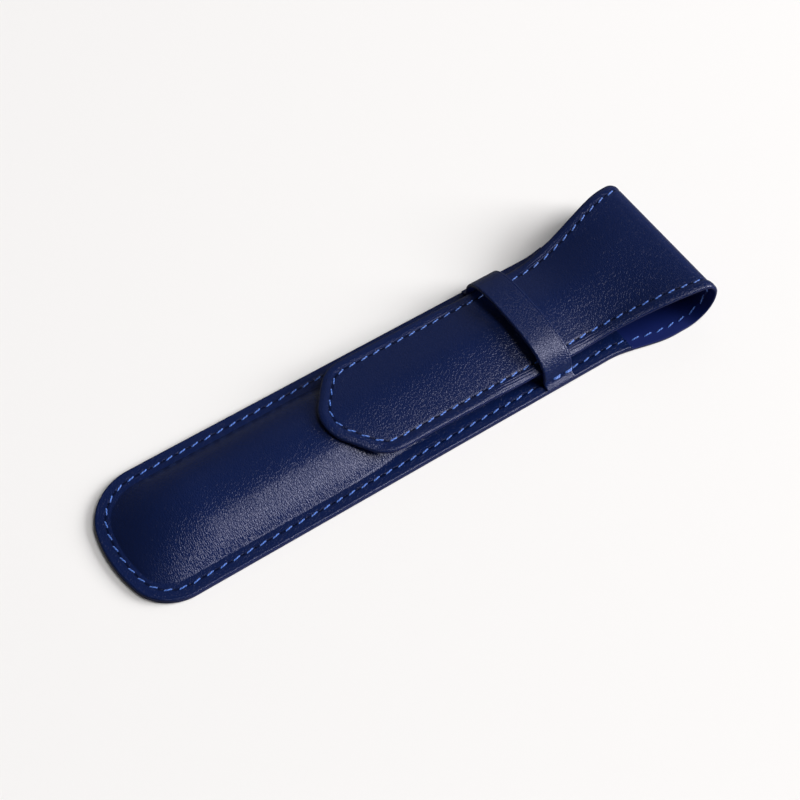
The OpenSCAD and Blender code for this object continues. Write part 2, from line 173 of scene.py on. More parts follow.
def on_strip(s, y, n):
    """Folds the flat strip: length s, side y and n outwards from the glue line."""
    low = (s - BEND_S) / LOW_GLUE_R
    top = math.pi / 2 + (s - CROWN_S) / TOP_GLUE_R
    past = TOP_X + TOP_S - s
    near_edge = strip_half(s, -1) + y
    far_edge = strip_half(s, 1) - y
    swell = NEAR_MARGIN_SWELL * step(near_edge, (3.3, 2.7))
    n = n + bell(s, CROWN_S + 2, 7) * (swell - FAR_EDGE_FALL * np.clip(1 - far_edge / 3, 0, 1) ** 2)
    y = y - TONGUE_SHIFT * step(past, (75, 112)) * (1 - step(past, (130, 165))) * (s > TOP_S)
    stretches = [s <= BEND_S, s < CROWN_S, s < TOP_S]
    x = np.select(stretches, [s, BEND_S + (LOW_GLUE_R + n) * np.sin(low),
                              TOP_X + (TOP_GLUE_R + n) * np.sin(top)], past)
    z = np.select(stretches, [OUTER_T - n, LOW_R - (LOW_GLUE_R + n) * np.cos(low),
                              LOW_R - (TOP_GLUE_R + n) * np.cos(top)], flap_top(past, y) - OUTER_T + n)
    return x, y, z


def on_front(x, y, n):
    """Moulds the flat front panel over its crown."""
    return x, y, n + crown(x, y)


# Outlines, with their outward normals
OUTLINE_GAP = 0.1


def dense(start, stop):
    return np.linspace(start, stop, max(2, int(abs(stop - start) / OUTLINE_GAP)))


def arc(centre, r, start, stop, side, way):
    """An arc on one side (-1 near, 1 far) that looks to the closed end (-1) or the tip (1)."""
    angle = np.linspace(start, stop, max(4, int(r * abs(stop - start) / OUTLINE_GAP)))
    normal = np.stack([way * np.cos(angle), side * np.sin(angle)], 1)
    return np.array(centre) + r * normal, normal


def joined(parts):
    """Stretches of points and normals, end to end."""
    return np.vstack([points for points, _ in parts]), np.vstack([normals for _, normals in parts])


def straight(s, side):
    return np.stack([s, side * strip_half(s, side)], 1), np.tile([0.0, side], (len(s), 1))


def closed_end(side, open_s):
    """From the open end along one side and round to the middle of the closed end. It also
    gives the length at which the grid has its corner."""
    r = NEAR_CORNER_R if side < 0 else FAR_CORNER_R
    cx = END_BOW_R - math.sqrt((END_BOW_R - r) ** 2 - (HALF_W - r) ** 2)
    turn = math.atan2(HALF_W - r, END_BOW_R - cx)
    parts = [straight(dense(open_s, cx), side),
             arc((cx, side * (HALF_W - r)), r, math.pi / 2, turn, side, -1),
             arc((END_BOW_R, 0), END_BOW_R, turn, 0, side, -1)]
    return joined(parts), open_s - cx + r * (math.pi / 2 - turn) / 2


def tongue_end(side, open_s):
    """From the fold along one side of the flap, round its shoulder and down to the nose."""
    flank_points = 60
    nose_t, nose_y = NOSE_R * (1 - math.cos(TIP_TURN)), NOSE_R * math.sin(TIP_TURN)
    shoulder_y = FLAP_HALF - SHOULDER_R + SHOULDER_R * math.sin(TIP_TURN)
    shoulder_t = nose_t + (shoulder_y - nose_y) * math.tan(TIP_TURN)
    side_s = TIP_S - shoulder_t - SHOULDER_R * math.cos(TIP_TURN)
    flank = np.linspace([TIP_S - shoulder_t, side * shoulder_y], [TIP_S - nose_t, side * nose_y],
                        flank_points)
    normal = np.tile([math.cos(TIP_TURN), side * math.sin(TIP_TURN)], (flank_points, 1))
    line = straight(dense(open_s, side_s), side)
    shoulder = arc((side_s, side * (FLAP_HALF - SHOULDER_R)), SHOULDER_R, math.pi / 2, TIP_TURN, side, 1)
    nose = arc((TIP_S - NOSE_R, 0), NOSE_R, TIP_TURN, 0, side, 1)
    run = np.hypot(*np.diff(line[0], axis=0).T).sum()
    return joined([line, shoulder, (flank, normal), nose]), run + SHOULDER_R * (math.pi / 2 - TIP_TURN) / 2


class Path:
    """An outline by the length along it, which can be drawn inset from itself."""
    def __init__(self, points, normals):
        keep = np.append(True, np.hypot(*np.diff(points, axis=0).T) > 1e-6)
        self.p, self.n = points[keep], normals[keep]
        self.at = np.append(0, np.cumsum(np.hypot(*np.diff(self.p, axis=0).T)))
        self.length = self.at[-1]

    def inset(self, where, d):
        """The points at these lengths along the outline, moved d inwards."""
        p = np.stack([np.interp(where, self.at, self.p[:, k]) for k in (0, 1)], -1)
        n = np.stack([np.interp(where, self.at, self.n[:, k]) for k in (0, 1)], -1)
        n /= np.maximum(np.linalg.norm(n, axis=-1, keepdims=True), 1e-9)
        return p - n * np.asarray(d)[..., None]


# Distances from the cut edge at which every leather has a line of vertices
RINGS = np.concatenate([[0, 0.05, 0.13, 0.25, 0.4], np.arange(0.55, 2.45, 0.15),
                        np.arange(2.5, 3.35, 0.12), [3.5], np.arange(3.7, 4.8, 0.15), [5.0, 5.4]])
BAND = len(RINGS) - 1
# the distance given to all that lies inside the rings
INSIDE = RINGS[-1] + 1.0


def rounded_plan(end, open_s, rows, inner, gap=0.4):
    """Flat positions (length, side) and distances from the edge for a sheet whose one end is
    rounded: rings round the edge, and a patch of inner columns inside them. rows are the
    first distances from the open end; the rest follow at the gap."""
    (near, near_c), (far, far_c) = end(-1, open_s), end(1, open_s)
    near, far = Path(*near), Path(*far)
    count = int((near_c - rows[-1]) / gap)
    more = rows[-1] + (near_c - rows[-1]) * np.arange(1, count + 1) / count
    spots = np.append(rows, more)
    n = len(spots) - 1
    m = 2 * BAND + inner
    plan = np.zeros((n + 1, m + 1, 2))
    depth = np.full((n + 1, m + 1), INSIDE)
    index = np.arange(n + 1)
    # over the last fifth of the rows, each ring's points slide round to meet its end row
    slide = 0.8 * n
    whole = Path(np.vstack([near.p, far.p[::-1][1:]]), np.vstack([near.n, far.n[::-1][1:]]))
    far_corner = whole.length - far_c
    for r, d in enumerate(RINGS):
        i = index[: n - r + 1]
        shifted = i + r * ease((i - slide) / (n - r - slide))
        where = np.interp(shifted, index, spots)
        plan[i, r] = near.inset(where, d)
        plan[i, m - r] = far.inset(where * far_c / near_c, d)
        j = np.arange(r, m - r + 1)
        plan[n - r, j] = whole.inset(near_c + (far_corner - near_c) * (j - r) / (m - 2 * r), d)
        depth[i, r] = depth[i, m - r] = d
        depth[n - r, j] = d
    # the patch inside the rings is blended from its four sides
    a, b = BAND, m - BAND
    last = n - BAND
    u = (np.arange(last + 1) / last)[:, None, None]
    v = (np.arange(inner + 1) / inner)[None, :, None]
    left, right = plan[: last + 1, a][:, None], plan[: last + 1, b][:, None]
    end_row = plan[last, a: b + 1][None]
    start = plan[0, a] * (1 - v) + plan[0, b] * v
    corners = ((1 - u) * (1 - v) * plan[0, a] + (1 - u) * v * plan[0, b]
               + u * (1 - v) * plan[last, a] + u * v * plan[last, b])
    plan[: last + 1, a: b + 1] = (1 - v) * left + v * right + (1 - u) * start + u * end_row - corners
    return plan[..., 0], plan[..., 1], depth


def straight_plan(start, stop, rows, inner):
    """The same for a stretch of the strip between two cuts."""
    s = np.linspace(start, stop, rows + 1)[:, None]
    near = -(strip_half(s, -1) - RINGS)
    far = (strip_half(s, 1) - RINGS)[:, ::-1]
    v = np.arange(1, inner)[None, :] / inner
    middle = near[:, -1:] * (1 - v) + far[:, :1] * v
    y = np.hstack([near, middle, far])
    depth = np.concatenate([RINGS, np.full(inner - 1, INSIDE), RINGS[::-1]])
    return np.broadcast_to(s, y.shape), y, np.tile(depth, (rows + 1, 1))


# Surfaces of the leathers
def rounded_edge(d, r):
    """Fall of a burnished edge that is rounded to radius r."""
    return r - np.sqrt(np.maximum(r * r - (r - np.minimum(d, r)) ** 2, 0))


# Painted shade at the needle holes: its radius round each hole, and the width and strength of the fainter
# painted shade along the line between them
HOLE_R = 0.3
PRICKED_W, PRICKED_SHADE = 0.16, 0.6


def needle_hole_shade(s, y, spots):
    """Painted shade for the needle holes, 0 to 1: how far inside a hole each point is. Every stitch has a
    hole at each end, and the pricking iron left a line from one to the next, which gets a fainter painted
    shade."""
    inside = np.zeros(s.shape)
    for (mid_s, mid_y), (way_s, way_y), reach in spots:
        along = (s - mid_s) * way_s + (y - mid_y) * way_y
        aside = (y - mid_y) * way_s - (s - mid_s) * way_y
        line = (np.abs(along) < PITCH / 2 + 0.1) & (np.abs(aside) < 0.5)
        inside[line] = np.maximum(inside[line], PRICKED_SHADE * bell(aside[line], 0, PRICKED_W))
        for end in (-1, 1):
            off_s, off_y = s - mid_s - end * reach * way_s, y - mid_y - end * reach * way_y
            near = np.abs(off_s) + np.abs(off_y) < 1
            hole_shade = np.exp(-(off_s[near] ** 2 + off_y[near] ** 2) / HOLE_R ** 2)
            inside[near] = np.maximum(inside[near], hole_shade)
    return inside


# Mesh helpers
def coordinates(mesh):
    co = np.empty(len(mesh.vertices) * 3)
    mesh.vertices.foreach_get("co", co)
    return co.reshape(-1, 3)


def set_coordinates(mesh, co):
    mesh.vertices.foreach_set("co", np.asarray(co, np.float32).ravel())
    mesh.update()


def only(obj):
    """Selects one object alone, and makes it the active one."""
    bpy.ops.object.select_all(action="DESELECT")
    obj.select_set(True)
    bpy.context.view_layer.objects.active = obj


# Edge paint covers the cut wall, and laps this far over the face and over the back
PAINT_ON_FACE, PAINT_ON_BACK = 0.06, 0.14


def leather(name, plan, face, back, relief, place, materials, edge_r=0.5, spots=()):
    """One leather, cut flat and then laid in place: a grid is shaped to the pattern, its face
    gets its relief, it is extruded to its thickness, and place() folds it. face and back are
    the heights of its two sides before that."""
    s, y, d = plan
    rows, cols = s.shape
    bpy.ops.mesh.primitive_grid_add(x_subdivisions=rows - 1, y_subdivisions=cols - 1, size=1)
    obj = bpy.context.object
    obj.name = obj.data.name = name
    flat = coordinates(obj.data)
    i = np.rint((flat[:, 0] + 0.5) * (rows - 1)).astype(int)
    j = np.rint((flat[:, 1] + 0.5) * (cols - 1)).astype(int)
    way = 1 if face > back else -1
    height = face + way * (relief(s, y, d) - rounded_edge(d, edge_r))
    set_coordinates(obj.data, np.stack([s[i, j], y[i, j], height[i, j]], 1))
    only(obj)
    bpy.ops.object.mode_set(mode="EDIT")
    bpy.ops.mesh.select_all(action="SELECT")
    bpy.ops.mesh.extrude_region_move(TRANSFORM_OT_translate={"value": (0, 0, -way)})
    bpy.ops.object.mode_set(mode="OBJECT")
    mesh = obj.data
    co = coordinates(mesh)
    moved = np.empty(len(mesh.vertices), bool)
    mesh.vertices.foreach_get("select", moved)
    co[moved, 2] = back
    depth = np.zeros(len(co))
    depth[~moved] = d[i, j]
    depth[moved] = d[i, j]
    # painted shade for the needle holes, kept on each point for the material to darken
    hole_shade_map = mesh.attributes.new("hole_shade", "FLOAT", "POINT")
    hole_shade_map.data.foreach_set("value", needle_hole_shade(co[:, 0], co[:, 1], spots).astype(np.float32))
    flat_map = mesh.attributes.new("flat", "FLOAT_VECTOR", "POINT")
    flat_map.data.foreach_set("vector", np.stack([co[:, 0], co[:, 1], depth], 1).astype(np.float32).ravel())
    painted = np.zeros(len(mesh.polygons), int)
    for k, polygon in enumerate(mesh.polygons):
        corners = list(polygon.vertices)
        lap = PAINT_ON_BACK if moved[corners].any() else PAINT_ON_FACE
        painted[k] = depth[corners].max() < lap
    for material in materials:
        mesh.materials.append(material)
    mesh.polygons.foreach_set("material_index", painted)
    set_coordinates(mesh, in_frame(place(co[:, 0], co[:, 1], co[:, 2])))
    finish_surface(obj)
    return obj


def in_frame(points):
    """Points in millimetres from the closed end, as metres in the shared frame."""
    x, y, z = points
    return np.stack([x - TOTAL_L / 2, y, z], 1) * MM


def finish_surface(obj, angle=35):
    """Turns the faces outwards, and smooths all but the edges sharper than the angle."""
    only(obj)
    bpy.ops.object.mode_set(mode="EDIT")
    bpy.ops.mesh.select_all(action="SELECT")
    bpy.ops.mesh.normals_make_consistent(inside=False)
    bpy.ops.object.mode_set(mode="OBJECT")
    bpy.ops.object.shade_smooth_by_angle(angle=math.radians(angle))
    obj.select_set(False)


# Materials
def linear(hex_colour):
    """sRGB hex to linear RGBA."""
    channels = [int(hex_colour[k: k + 2], 16) / 255 for k in (1, 3, 5)]
    return tuple(c / 12.92 if c <= 0.04045 else ((c + 0.055) / 1.055) ** 2.4 for c in channels) + (1.0,)


def add_node(tree, kind, links=None, **settings):
    """A node with its settings, which are properties or sockets by name, and its links."""
    made = tree.nodes.new(kind)
    # properties come first, because some of them change the sockets
    for name, value in settings.items():
        if hasattr(made, name):
            setattr(made, name, value)
    for name, value in settings.items():
        if not hasattr(made, name):
            made.inputs[name.replace("_", " ")].default_value = value
    for name, socket in (links or {}).items():
        tree.links.new(socket, made.inputs[name])
    return made


def new_material(name):
    """A material with its node tree and its shader."""
    made = bpy.data.materials.new(name)
    made.use_nodes = True
    return made, made.node_tree, made.node_tree.nodes["Principled BSDF"]


def grained_leather():
    """Drum-dyed cowhide with a light finish, boarded so that its fine grain runs across the
    length: deep navy, semi-gloss, and pebbled where it catches the light."""
    made, tree, shader = new_material("navy_grained_cowhide")
    flat = add_node(tree, "ShaderNodeAttribute", attribute_name="flat").outputs["Vector"]
    # one pebble of the grain is 0.5 mm along the length and 1 mm across it
    pebble_at = add_node(tree, "ShaderNodeMapping", {"Vector": flat}, Scale=(1 / 0.5, 1 / 1.0, 0))
    wobble = add_node(tree, "ShaderNodeTexNoise", {"Vector": flat}, Scale=1.3, Detail=2)
    bent = add_node(tree, "ShaderNodeVectorMath", {0: wobble.outputs["Color"]},
                    operation="SCALE", Scale=1.0)
    bent = add_node(tree, "ShaderNodeVectorMath", {0: pebble_at.outputs[0], 1: bent.outputs[0]},
                    operation="ADD")
    pebbles = add_node(tree, "ShaderNodeTexVoronoi", {"Vector": bent.outputs[0]},
                       feature="DISTANCE_TO_EDGE", Scale=1)
    # boarding creases, 0.45 mm wide and 1.8 mm long
    crease_at = add_node(tree, "ShaderNodeMapping", {"Vector": flat}, Scale=(1 / 0.45, 1 / 1.8, 0))
    creases = add_node(tree, "ShaderNodeTexNoise", {"Vector": crease_at.outputs[0]}, Scale=1, Detail=3)
    domes = add_node(tree, "ShaderNodeMapRange", {"Value": pebbles.outputs["Distance"]},
                     interpolation_type="SMOOTHSTEP", From_Max=0.22)
    height = add_node(tree, "ShaderNodeMath", {0: domes.outputs[0], 1: creases.outputs[0]}, operation="ADD")
    bump = add_node(tree, "ShaderNodeBump", {"Height": height.outputs[0]}, Strength=1, Distance=0.000036)
    patches = add_node(tree, "ShaderNodeTexNoise", {"Vector": flat}, Scale=0.06, Detail=3)
    tone = add_node(tree, "ShaderNodeMix", {"Factor": patches.outputs[0]}, data_type="RGBA")
    tone.inputs["A"].default_value = linear("#0a183f")
    tone.inputs["B"].default_value = linear("#0d1c47")
    # painted shade at the needle holes and along the pricked line
    hole_shade = add_node(tree, "ShaderNodeAttribute", attribute_name="hole_shade").outputs["Fac"]
    tone = add_node(tree, "ShaderNodeMix", {"Factor": hole_shade, "A": tone.outputs["Result"]}, data_type="RGBA")
    # painted shade: the needle holes and the pricked line between them are darkened towards near black, and
    # lose most of their sheen
    tone.inputs["B"].default_value = linear("#02030a")
    shade_dimmed_specular = add_node(tree, "ShaderNodeMapRange", {"Value": hole_shade}, To_Min=0.5, To_Max=0.02)
    gloss = add_node(tree, "ShaderNodeMapRange", {"Value": creases.outputs[0]}, To_Min=0.15, To_Max=0.25)
    for socket, name in ((tone.outputs["Result"], "Base Color"), (gloss.outputs[0], "Roughness"),
                         (bump.outputs[0], "Normal"), (shade_dimmed_specular.outputs[0], "Specular IOR Level")):
        tree.links.new(socket, shader.inputs[name])
    shader.inputs["IOR"].default_value = 1.45
    # the dyed finish gives its sheen a little of its blue
    shader.inputs["Specular Tint"].default_value = linear("#e6e6ff")
    return made


def lining_leather():
    """Thin split lining leather, dyed and rolled smooth: an even navy with a low sheen and no
    grain to speak of."""
    made, tree, shader = new_material("navy_lining_leather")
    flat = add_node(tree, "ShaderNodeAttribute", attribute_name="flat").outputs["Vector"]
    # faint pores, 0.35 mm apart
    pores = add_node(tree, "ShaderNodeTexNoise", {"Vector": flat}, Scale=1 / 0.35, Detail=3)
    bump = add_node(tree, "ShaderNodeBump", {"Height": pores.outputs[0]}, Strength=0.6, Distance=0.00003)
    patches = add_node(tree, "ShaderNodeTexNoise", {"Vector": flat}, Scale=0.08, Detail=2)
    tone = add_node(tree, "ShaderNodeMix", {"Factor": patches.outputs[0]}, data_type="RGBA")
    tone.inputs["A"].default_value = linear("#07164a")
    tone.inputs["B"].default_value = linear("#0a1b58")
    tree.links.new(tone.outputs["Result"], shader.inputs["Base Color"])
    tree.links.new(bump.outputs[0], shader.inputs["Normal"])
    shader.inputs["Roughness"].default_value = 0.45
    shader.inputs["IOR"].default_value = 1.4
    shader.inputs["Specular Tint"].default_value = linear("#c8c8ff")
    return made


def edge_paint():
    """Acrylic edge paint, brushed on and burnished: it draws a smooth line round every cut edge,
    a shade lighter than the leather."""
    made, tree, shader = new_material("navy_edge_paint")
    flat = add_node(tree, "ShaderNodeAttribute", attribute_name="flat").outputs["Vector"]
    # brush ripples about 1.5 mm long
    ripples = add_node(tree, "ShaderNodeTexNoise", {"Vector": flat}, Scale=1 / 1.5, Detail=2)
    bump = add_node(tree, "ShaderNodeBump", {"Height": ripples.outputs[0]}, Strength=0.5, Distance=0.00005)
    tone = add_node(tree, "ShaderNodeMix", {"Factor": ripples.outputs[0]}, data_type="RGBA")
    tone.inputs["A"].default_value = linear("#0b1540")
    tone.inputs["B"].default_value = linear("#141e52")
    tree.links.new(tone.outputs["Result"], shader.inputs["Base Color"])
    tree.links.new(bump.outputs[0], shader.inputs["Normal"])
    shader.inputs["Roughness"].default_value = 0.4
    shader.inputs["IOR"].default_value = 1.49
    return made


def waxed_thread():
    """Waxed polyester sewing thread, laid from twisted plies: bright blue, with slanted bands of painted
    highlight on the plies' crowns and painted shade in the grooves between them."""
    made, tree, shader = new_material("blue_waxed_thread")
    place = add_node(tree, "ShaderNodeUVMap", uv_map="UVMap").outputs[0]
    # a slanted band about every 0.8 mm of thread, drawn coarser than real plies so that it shows
    twist_at = add_node(tree, "ShaderNodeMapping", {"Vector": place}, Scale=(2, 9, 1))
    plies = add_node(tree, "ShaderNodeTexWave", {"Vector": twist_at.outputs[0]},
                     wave_type="BANDS", bands_direction="DIAGONAL", Scale=0.5, Distortion=0.4)
    bump = add_node(tree, "ShaderNodeBump", {"Height": plies.outputs["Fac"]},
                    Strength=0.7, Distance=0.00006)
    # painted shade and highlight: the colour follows the ply bands that raise the bump, darker in their
    # grooves and lighter on their crowns
    tone = add_node(tree, "ShaderNodeMix", {"Factor": plies.outputs["Fac"]}, data_type="RGBA")
    tone.inputs["A"].default_value = linear("#21449a")
    tone.inputs["B"].default_value = linear("#5a8ae2")
    tree.links.new(tone.outputs["Result"], shader.inputs["Base Color"])
    tree.links.new(bump.outputs[0], shader.inputs["Normal"])
    shader.inputs["Roughness"].default_value = 0.45
    shader.inputs["Sheen Weight"].default_value = 0.2
    return made


GRAIN, LINING, PAINT, THREAD = grained_leather(), lining_leather(), edge_paint(), waxed_thread()


# Stitches
def stitch_shape():
    """One stitch of the seam, modelled once: a length of thread, six-sided and cut across seven
    times along its length, so that it can bend into its needle holes."""
    bpy.ops.mesh.primitive_cylinder_add(vertices=6, radius=1, depth=2, rotation=(0, math.pi / 2, 0))
    obj = bpy.context.object
    bpy.ops.object.transform_apply(location=False, rotation=True, scale=False)
    mesh = obj.data
    bpy.ops.object.mode_set(mode="EDIT")
    bpy.ops.mesh.select_all(action="DESELECT")
    bpy.ops.object.mode_set(mode="OBJECT")
    co = coordinates(mesh)
    for edge in mesh.edges:
        first, second = edge.vertices
        edge.select = abs(co[first, 0] - co[second, 0]) > 1
    bpy.ops.object.mode_set(mode="EDIT")
    bpy.ops.mesh.select_mode(type="EDGE")
    bpy.ops.mesh.subdivide(number_cuts=7)
    bpy.ops.object.mode_set(mode="OBJECT")
    obj.hide_render = True
    return obj


STITCH = stitch_shape()
STITCH_CO = coordinates(STITCH.data)
STITCH_REACH = 1.48
THREAD_R, TACK_R = 0.205, 0.27
# Each stitch lies aslant of its seam: its ends are this far to the sides
BODY_SLANT, FLAP_SLANT = 0.34, -0.3


def stitch_points(reach, radius, dip, sunk):
    """The stitch's points as (along, across, up) from the middle of its seat on the leather."""
    u, v, w = STITCH_CO.T
    # its cuts stand closer towards the ends, where it turns down and thins by a quarter
    along = np.sign(u) * np.abs(u) ** 0.8 * reach
    slope = ease((np.abs(u) - 0.45) / 0.55)
    thin = radius * (1 - 0.25 * slope)
    # the thread is pressed to 0.8 of its height
    return along, v * thin, w * thin * 0.8 + radius * (0.8 - sunk) - dip * slope


def sew(name, spots, place, level, way=1, radius=THREAD_R, dip=0.4, sunk=0.5, slant=BODY_SLANT):
    """Stitches at spots, each ((s, y), unit direction, half length), copied and joined."""
    made = []
    for (s, y), (way_s, way_y), reach in spots:
        copy = STITCH.copy()
        copy.data = STITCH.data.copy()
        copy.hide_render = False
        bpy.context.collection.objects.link(copy)
        along, across, up = stitch_points(reach, radius, dip, sunk)
        across = across + slant * along / reach
        laid = place(s + along * way_s - across * way_y, y + along * way_y + across * way_s,
                     level + way * up)
        set_coordinates(copy.data, in_frame(laid))
        made.append(copy)
    only(made[0])
    for copy in made:
        copy.select_set(True)
    bpy.ops.object.join()
    obj = bpy.context.object
    obj.name = obj.data.name = name
    obj.data.materials.append(THREAD)
    finish_surface(obj, 60)
    return obj


def even_spots(path):
    """Stitch spots at an even pitch all along a seam."""
    count = int(path.length // PITCH)
    spots = []
    for where in (np.arange(count) + 0.5) * path.length / count:
        start, stop = path.inset(np.array([where - STITCH_REACH, where + STITCH_REACH]), np.zeros(2))
        length = np.linalg.norm(stop - start)
        spots.append((tuple((start + stop) / 2), tuple((stop - start) / length), float(length / 2)))
    return spots


def side_spots(start, stop, count, reach):
    """The same for both straight sides of a stretch of the strip."""
    gap = (stop - start) / count
    spots = []
    for i in range(count):
        for side in (-1, 1):
            s = start + (i + 0.5) * gap + np.array([-reach, reach])
            y = side * (strip_half(s, side) - FLAP_MARGIN)
            run = np.array([s[1] - s[0], y[1] - y[0]])
            length = np.linalg.norm(run)
            spots.append(((s.mean(), y.mean()), tuple(run / length), length / 2))
    return spots


def seam_path(end, open_s, margin):
    """The seam round one end of the strip, from side to side, at its margin from the edge."""
    (near, _), (far, _) = end(-1, open_s), end(1, open_s)
    edge = Path(np.vstack([near[0], far[0][::-1][1:]]), np.vstack([near[1], far[1][::-1][1:]]))
    return Path(edge.inset(edge.at, np.full(len(edge.at), margin)), edge.n)


def under_strap(spot):
    """Whether the strap's foot, and 0.8 beside it, covers a stitch of the body seam."""
    return STRAP_X[0] - 0.8 < spot[0][0] < STRAP_X[1] + 0.8


BODY_SPOTS = even_spots(seam_path(closed_end, MOUTH_X, SEAM_MARGIN))
SHOWN_SPOTS = [spot for spot in BODY_SPOTS if not under_strap(spot)]
FLAP_SPOTS = even_spots(seam_path(tongue_end, MID_S[4], FLAP_MARGIN))


# The leathers
def no_relief(s, y, d):
    """A lining lies smooth."""
    return np.zeros(np.shape(d))


def body_relief(s, y, d):
    """The stitches pull a groove into the body's edge, and a creaser ran along it."""
    groove, crease = 0.08, 0.02
    return -groove * bell(d, SEAM_MARGIN, 0.3) - crease * bell(d, 0.95, 0.14)


def flap_relief(s, y, d):
    """The flap's margin is a soft bead outside its seam's groove, and it wrinkles along its
    length on both sides of the strap, which pulls it down."""
    bead_h, wrinkle_h, groove = 0.17, 0.055, 0.08
    x = TOP_X + TOP_S - s
    bead = np.clip(1 - ((d - 1.45) / 1.35) ** 2, 0, 1) ** 1.5
    pulled = bell(x, 112, 9) + bell(x, 139, 10)
    # the wrinkles are 0.72 apart, wander a little, and fade out at the edge and at the seam
    wander = d + 0.12 * np.sin(0.31 * s + 2 * np.sign(y)) + 0.05 * np.sin(1.1 * s)
    wrinkles = wrinkle_h * pulled * np.sin(2 * math.pi * wander / 0.72)
    wrinkles = wrinkles * step(d, (0.3, 0.8)) * step(d, (2.9, 2.4))
    return bead_h * bead + wrinkles - groove * bell(d, FLAP_MARGIN, 0.32)


def cut_outer(name, plan, relief, place, face=OUTER_T, spots=()):
    """An outer leather, with painted shade for its needle holes at spots."""
    return leather(name, plan, face, face - OUTER_T, relief, place, (GRAIN, PAINT), spots=spots)


def cut_lining(name, plan, place, face=-LINING_T, back=0.0):
    """A lining, plain and with its thin edge barely rounded."""
    return leather(name, plan, face, back, no_relief, place, (LINING, PAINT), edge_r=0.15)


# First rows of vertices from the open end of a panel: close ones at the mouth's cut edge, and
# even ones where the strip goes on in the next piece
EDGE_ROWS = np.array([0, 0.05, 0.13, 0.25, 0.4, 0.6, 0.9])
JOIN_ROWS = np.array([0, 0.35, 0.7, 1.05])
INNER_COLUMNS, FOLD_ROWS = 24, 16


def front_plan(inner, gap=0.4):
    """The front panel's pattern, with the mouth as a cut edge too."""
    s, y, d = rounded_plan(closed_end, MOUTH_X, EDGE_ROWS, inner, gap)
    return s, y, np.minimum(d, np.maximum(MOUTH_X - s, 0))


front_outer = cut_outer("front_outer_leather", front_plan(40), body_relief, on_front, face=EDGE_T,
                        spots=BODY_SPOTS)
front_lining = cut_lining("front_lining_leather", front_plan(30, gap=1.2), on_front, face=PANEL_T,
                          back=PANEL_T + LINING_T)

back_plan = rounded_plan(closed_end, MID_S[0], JOIN_ROWS, INNER_COLUMNS)
back_outer = cut_outer("back_outer_leather", back_plan, body_relief, on_strip, spots=BODY_SPOTS)
back_lining = cut_lining("back_lining_leather", back_plan, on_strip)
fold_outers, fold_linings = [], []
for k in range(1, 5):
    fold_plan = straight_plan(MID_S[k - 1], MID_S[k], FOLD_ROWS, INNER_COLUMNS)
    fold_outers.append(cut_outer(f"fold_{k}_outer_leather", fold_plan, flap_relief, on_strip))
    fold_linings.append(cut_lining(f"fold_{k}_lining_leather", fold_plan, on_strip))
flap_plan = rounded_plan(tongue_end, MID_S[4], JOIN_ROWS, INNER_COLUMNS)
flap_outer = cut_outer("flap_outer_leather", flap_plan, flap_relief, on_strip, spots=FLAP_SPOTS)
flap_lining = cut_lining("flap_lining_leather", flap_plan, on_strip)


# Strap
STRAP_MID, STRAP_W = sum(STRAP_X) / 2, STRAP_X[1] - STRAP_X[0]


def strap_line():
    """The strap's middle line (side, height) over its outer face: a foot, a soft turn and the
    squarish arch, and the same again down to the other foot."""
    angle = np.linspace(0, math.pi, 241)
    across, up = np.cos(angle), np.sin(angle)
    power = 2 / STRAP_POWER
    base = EDGE_T + PANEL_T
    arch = np.stack([np.sign(across) * np.abs(across) ** power * STRAP_HALF,
                     base + (STRAP_H - base) * up ** power], 1)
    # the foot is pressed down 0.55 at its cut end, and starts to lift at the arch
    foot = np.stack([np.linspace(HALF_W, STRAP_HALF, 12), np.linspace(base - 0.55, base + 0.1, 12)], 1)
    line = np.vstack([foot[:-1], arch, (foot * [-1, 1])[::-1][1:]])
    at = np.append(0, np.cumsum(np.hypot(*np.diff(line, axis=0).T)))
    even = np.linspace(0, at[-1], 300)
    line = np.stack([np.interp(even, at, line[:, k]) for k in (0, 1)], 1)
    # the two turns are softened where the feet lift into the arch
    for _ in range(14):
        line[1:-1] = 0.25 * line[:-2] + 0.5 * line[1:-1] + 0.25 * line[2:]
    return line


STRAP_LINE = strap_line()
STRAP_AT = np.append(0, np.cumsum(np.hypot(*np.diff(STRAP_LINE, axis=0).T)))
tangent = np.gradient(STRAP_LINE, axis=0)
tangent /= np.linalg.norm(tangent, axis=1, keepdims=True)
STRAP_UP = np.stack([tangent[:, 1], -tangent[:, 0]], 1)


def on_strap(s, y, n):
    """s runs along the strap from its far foot, y across it, and n up from its glue line."""
    py, pz = (np.interp(s, STRAP_AT, STRAP_LINE[:, k]) for k in (0, 1))
    ny, nz = (np.interp(s, STRAP_AT, STRAP_UP[:, k]) for k in (0, 1))
    # the feet are pared to a third of their thickness over their last 2.2
    out = (n - OUTER_T) * (0.35 + 0.65 * ease(np.minimum(s, STRAP_AT[-1] - s) / 2.2))
    return STRAP_MID + y, py + ny * out, pz + nz * out


def strap_plan():
    half, length = STRAP_W / 2, STRAP_AT[-1]
    rings = np.array([0, 0.05, 0.13, 0.25, 0.4, 0.6, 0.75, 0.85, 0.95, 1.05, 1.2, 1.5])
    s = np.concatenate([rings[:6], np.linspace(rings[6], length - rings[6], 130), length - rings[5::-1]])
    s = s[:, None]
    middle = np.linspace(-half + rings[-1], half - rings[-1], 12)[1:-1]
    y = np.concatenate([-half + rings, middle, half - rings[::-1]])[None, :]
    d = np.minimum(half - np.abs(y), np.minimum(s, length - s))
    return np.broadcast_to(s, d.shape), np.broadcast_to(y, d.shape), d


def strap_relief(s, y, d):
    """Two creased lines run along the strap, close to its edge on the fold's side."""
    edge = STRAP_W / 2 - y
    return -0.05 * bell(edge, 0.9, 0.13) - 0.03 * bell(edge, 1.9, 0.12)


